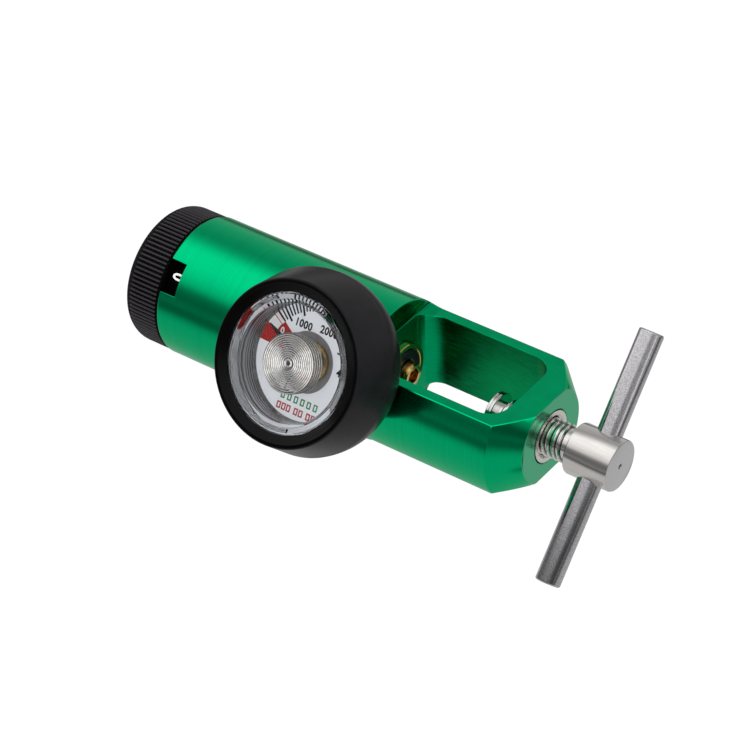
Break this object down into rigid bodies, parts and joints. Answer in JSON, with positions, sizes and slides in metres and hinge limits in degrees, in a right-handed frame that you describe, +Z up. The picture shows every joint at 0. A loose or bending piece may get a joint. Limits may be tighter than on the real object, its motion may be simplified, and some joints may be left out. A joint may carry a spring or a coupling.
{
  "type": "oxygen flow regulator",
  "caption": "Post-valve oxygen flow regulator: turned green body with yoke slot, tee-handled clamp screw, click flow selector and a booted pressure gauge leaning up from the body.",
  "frame": {"origin": "centre of the inlet seal's rim, on the body's axis", "axes": "+X along the body towards the tee handle, +Z up through the yoke slot, the gauge leans up from -Y"},
  "size_m": [0.142, 0.0821, 0.0646],
  "materials": {
    "green_anodised_aluminium": "satin, turned, green anodised",
    "black_anodised_aluminium": "satin black anodised",
    "black_numbered_drum": "matt black",
    "stainless_steel": "turned and ground",
    "nickel_plated_steel": "nickel plated",
    "brass": "turned",
    "sintered_bronze": "sintered, matt",
    "black_rubber": "satin",
    "white_nylon": "smooth",
    "white_dial": "matt white",
    "clear_lens": "clear polycarbonate",
    "spring_steel": "drawn wire",
    "black_pointer": "matt black",
    "plain_aluminium": "turned"
  },
  "bodies": {
    "regulator": {"body_yoke": "green_anodised_aluminium", "seal_rim": "brass", "seal_rubber": "black_rubber", "inlet_nozzle": "brass", "inlet_filter": "sintered_bronze", "index_pin_front": "stainless_steel", "index_pin_rear": "stainless_steel", "thread_insert": "nickel_plated_steel", "gauge_boot": "black_rubber", "gauge_case": "nickel_plated_steel", "gauge_socket": "brass", "gauge_dial": "white_dial", "gauge_lens": "clear_lens", "bourdon_coil": "stainless_steel", "piston_spring": "spring_steel", "flow_head": "plain_aluminium", "head_o_ring": "black_rubber", "port_o_ring": "black_rubber", "detent_spring": "spring_steel", "outlet_barb": "nickel_plated_steel"},
    "clamp_foot": {"clamp_foot": "stainless_steel"},
    "clamp_screw": {"clamp_screw": "stainless_steel", "tee_bar": "stainless_steel"},
    "flow_selector": {"flow_knob": "black_anodised_aluminium", "dial_drum": "black_numbered_drum", "knob_screw": "stainless_steel", "selector_spindle": "stainless_steel", "spindle_o_ring": "black_rubber", "spindle_clip": "spring_steel", "orifice_disc": "brass"},
    "pointer": {"gauge_pointer": "black_pointer", "pointer_staff": "stainless_steel"},
    "piston": {"piston": "brass", "piston_o_ring": "black_rubber", "stem_o_ring": "black_rubber", "seat_pad": "white_nylon"},
    "detent_ball": {"detent_ball": "stainless_steel"}
  },
  "joints": [
    {"name": "foot_slide", "type": "slide", "parent": "regulator", "child": "clamp_foot", "axis": [1, 0, 0], "range_m": [-0.0072, 0.0073]},
    {"name": "screw_turn", "type": "hinge", "parent": "clamp_foot", "child": "clamp_screw", "pos_m": [0.05785, 0, 0], "axis": [1, 0, 0], "range_deg": [-1725, 1745]},
    {"name": "selector_turn", "type": "hinge", "parent": "regulator", "child": "flow_selector", "pos_m": [-0.0714, 0, 0], "axis": [1, 0, 0], "continuous": true},
    {"name": "pointer_turn", "type": "hinge", "parent": "regulator", "child": "pointer", "pos_m": [-0.01067, 0, 0], "axis": [0, 0.8581, -0.5135], "range_deg": [0, 170], "stiffness_Nm_per_rad": 0.00005, "deforming": ["bourdon_coil"]},
    {"name": "piston_slide", "type": "slide", "parent": "regulator", "child": "piston", "axis": [1, 0, 0], "range_m": [0, 0.0006], "stiffness_N_per_m": 2000, "springref_m": -0.002, "deforming": ["piston_spring"]},
    {"name": "ball_slide", "type": "slide", "parent": "regulator", "child": "detent_ball", "axis": [-1, 0, 0], "range_m": [0, 0.0003], "stiffness_N_per_m": 500, "deforming": ["detent_spring"]}
  ],
  "couplings": [
    {"joint": "foot_slide", "follows": "screw_turn", "m_per_rad": 0.00023873}
  ]
}
